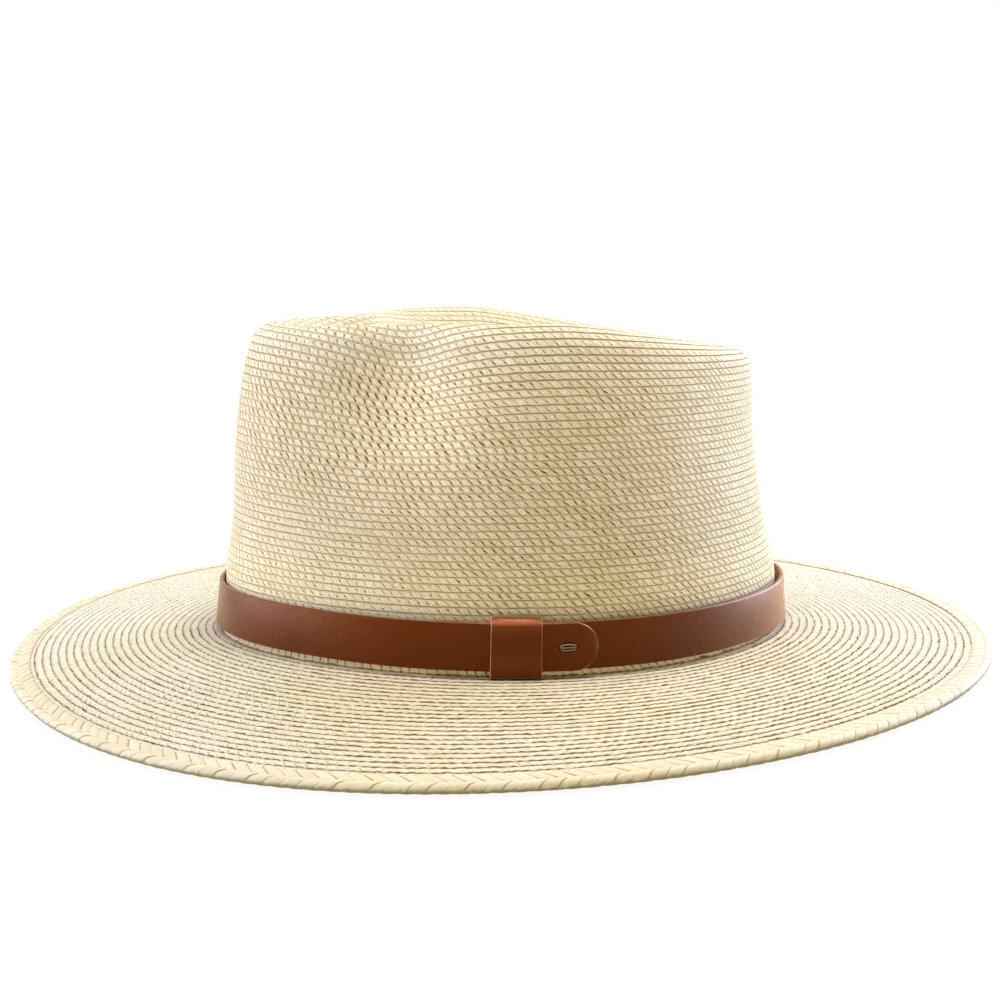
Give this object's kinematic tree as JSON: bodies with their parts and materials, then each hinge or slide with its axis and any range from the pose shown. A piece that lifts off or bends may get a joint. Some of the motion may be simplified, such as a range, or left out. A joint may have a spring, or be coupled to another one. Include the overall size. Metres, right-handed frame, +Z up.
{
  "type": "panama hat",
  "caption": "Wide-brim straw-braid hat with a teardrop crown, front pinches, a rolled plaited edge and a leather band with a sliding keeper.",
  "frame": {"origin": "middle of the overall outline, on the surface that the brim's edge rests on", "axes": "+Z up out of the crown, the hat's front faces -Y, +X is the wearer's left (the side with the band's keeper)"},
  "size_m": [0.3356, 0.355, 0.1175],
  "materials": {
    "straw_braid": "matt woven straw",
    "straw_plait": "satin plaited straw",
    "tan_leather": "semi-gloss saddle leather",
    "tack_thread": "waxed thread",
    "sweatband_cloth": "matt ribbed cloth",
    "welt_tape": "matt tape"
  },
  "bodies": {
    "hat": {"crown": "straw_braid", "brim": "straw_braid", "brim_edge_braid": "straw_plait", "sweatband": "sweatband_cloth", "sweatband_welt": "welt_tape", "sweatband_join": "sweatband_cloth"},
    "band": {"band_strap": "tan_leather", "strap_tack": "tack_thread"},
    "keeper": {"band_keeper": "tan_leather"}
  },
  "joints": [
    {"name": "band_lift", "type": "slide", "parent": "hat", "child": "band", "axis": [0, 0.0279, 0.9996], "range_m": [0, 0.112]},
    {"name": "keeper_slide", "type": "hinge", "parent": "band", "child": "keeper", "pos_m": [-0.02953, 0.00363, 0.0075], "axis": [0, 0.0279, 0.9996], "range_deg": [-9, 2.5]}
  ]
}
